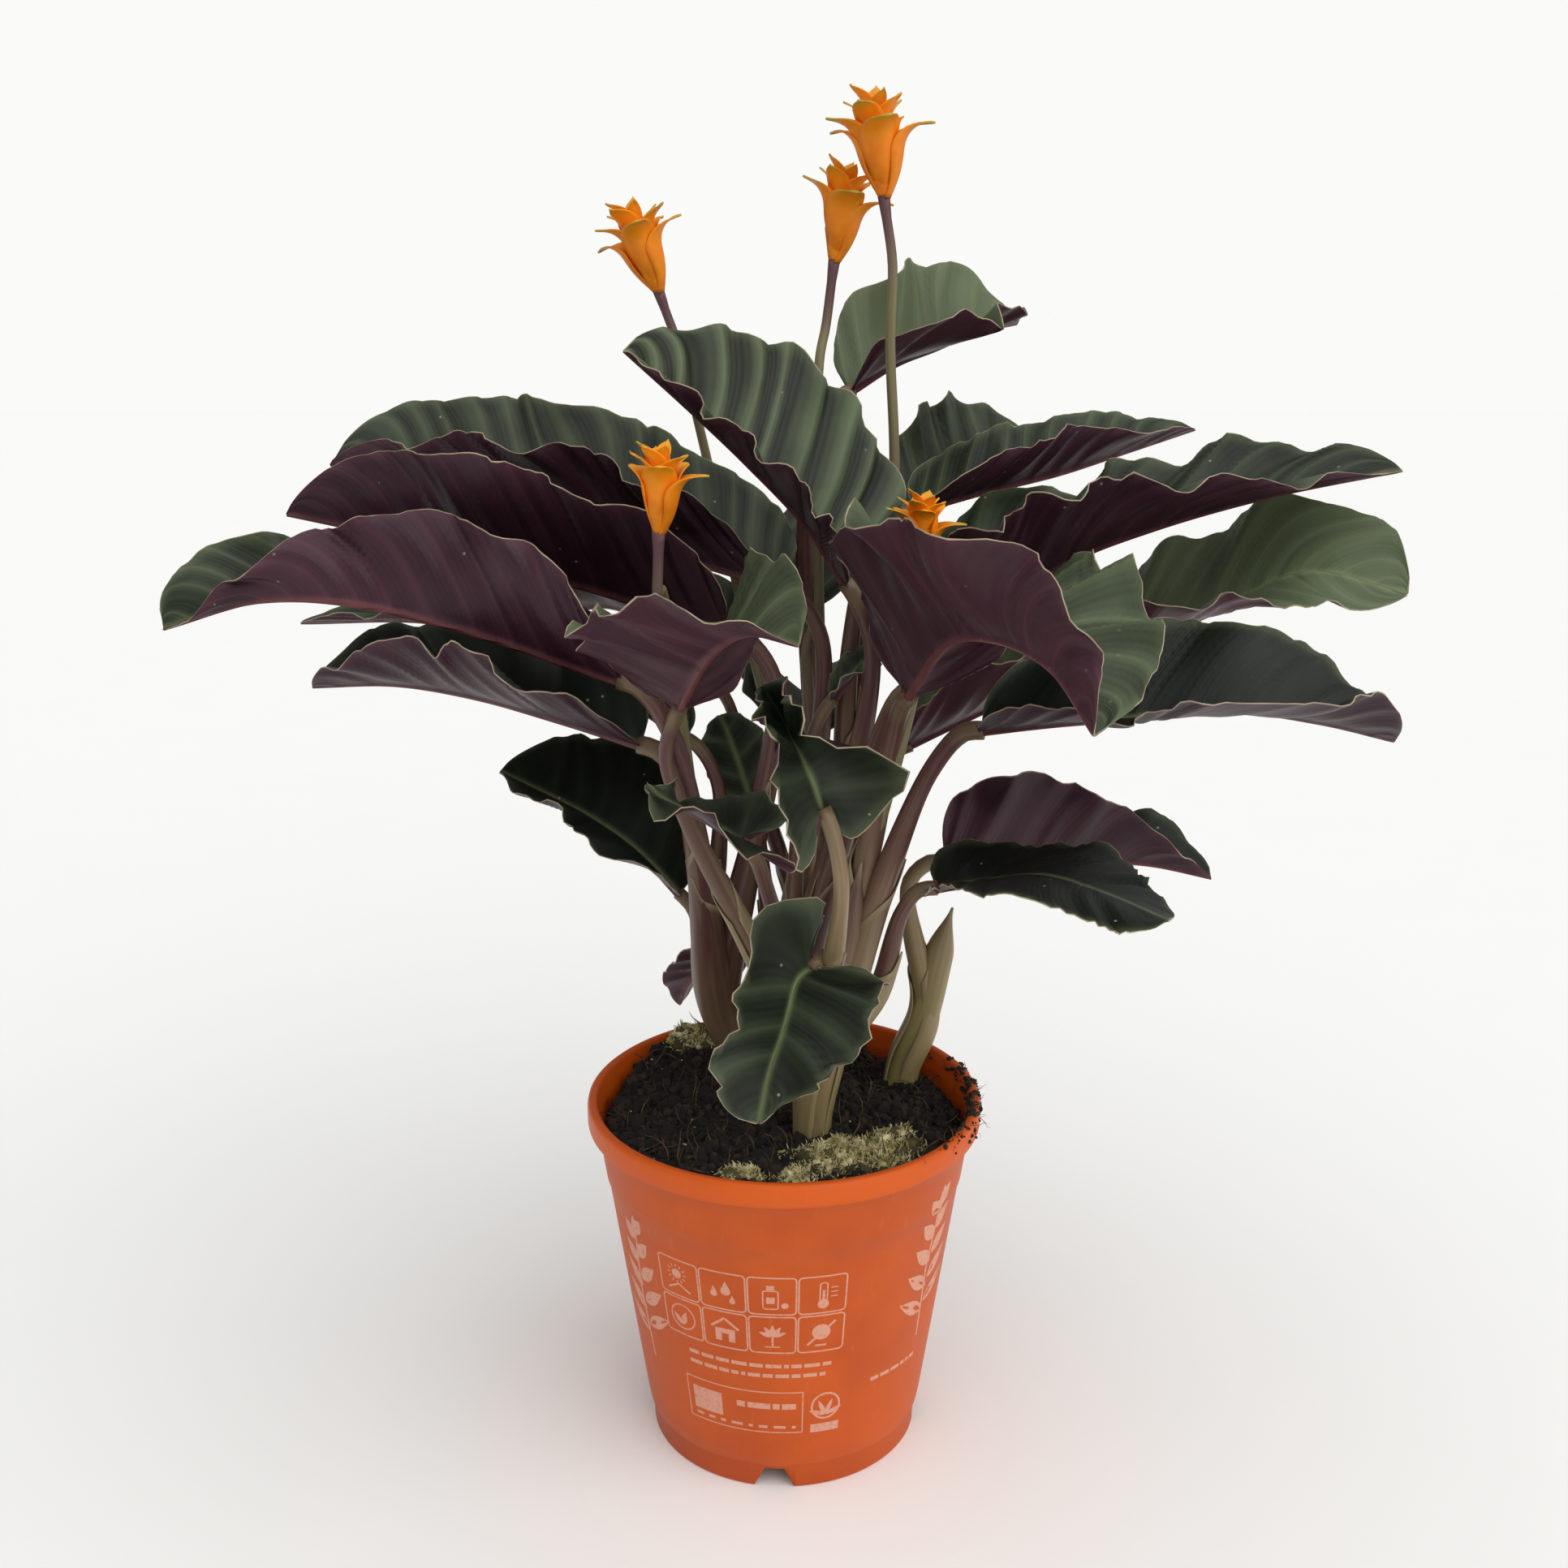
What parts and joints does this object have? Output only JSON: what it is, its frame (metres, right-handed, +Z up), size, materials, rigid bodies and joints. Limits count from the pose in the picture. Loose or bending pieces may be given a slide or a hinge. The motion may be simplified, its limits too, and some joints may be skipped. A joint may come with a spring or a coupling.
{
  "type": "potted prayer plant",
  "caption": "Prayer plant with waved green and burgundy leaves and orange flame-like bract heads, standing in a tapered orange plastic nursery pot",
  "frame": {"origin": "middle of the underside of the pot, on the surface it stands on", "axes": "+Z up along the axis of the pot, +X to the right seen from the front of the plant, +Y from the front to the back"},
  "size_m": [0.4067, 0.256, 0.4713],
  "materials": {
    "pot_plastic": "satin orange injection-moulded plastic with pale pink printing",
    "peat": "damp dark peat with fibres and moss; wood stands in for peat",
    "stems": "satin olive to mauve-brown stalks; wood stands in for living plant tissue",
    "leaf_blades": "satin dark green above and burgundy below; wood stands in for living plant tissue",
    "bracts": "matte waxy orange; wood stands in for living plant tissue"
  },
  "bodies": {
    "root": {"pot": "pot_plastic", "soil": "peat", "shoot_left": "stems", "shoot_centre": "stems", "shoot_right": "stems", "shoot_front": "stems", "shoot_back": "stems", "leaf_left_long": "leaf_blades", "leaf_left_middle": "leaf_blades", "leaf_left_back": "leaf_blades", "leaf_left_low": "leaf_blades", "leaf_left_behind": "leaf_blades", "leaf_left_droop": "leaf_blades", "leaf_low_behind": "leaf_blades", "leaf_centre_high": "leaf_blades", "leaf_back_high": "leaf_blades", "leaf_back_upright": "leaf_blades", "leaf_right_high": "leaf_blades", "leaf_right_long": "leaf_blades", "leaf_right_flat": "leaf_blades", "leaf_right_low": "leaf_blades", "leaf_right_purple": "leaf_blades", "leaf_right_dark": "leaf_blades", "leaf_right_front": "leaf_blades", "leaf_left_front": "leaf_blades", "leaf_centre_front": "leaf_blades", "leaf_centre_small": "leaf_blades", "leaf_low_front": "leaf_blades", "leaf_between_left": "leaf_blades", "leaf_between_right": "leaf_blades", "leaf_behind_green": "leaf_blades", "leaf_behind_left": "leaf_blades", "leaf_behind_middle": "leaf_blades", "leaf_behind_right": "leaf_blades", "flower_top": "bracts", "flower_high": "bracts", "flower_left": "bracts", "flower_front": "bracts", "flower_hidden": "bracts"}
  },
  "joints": []
}
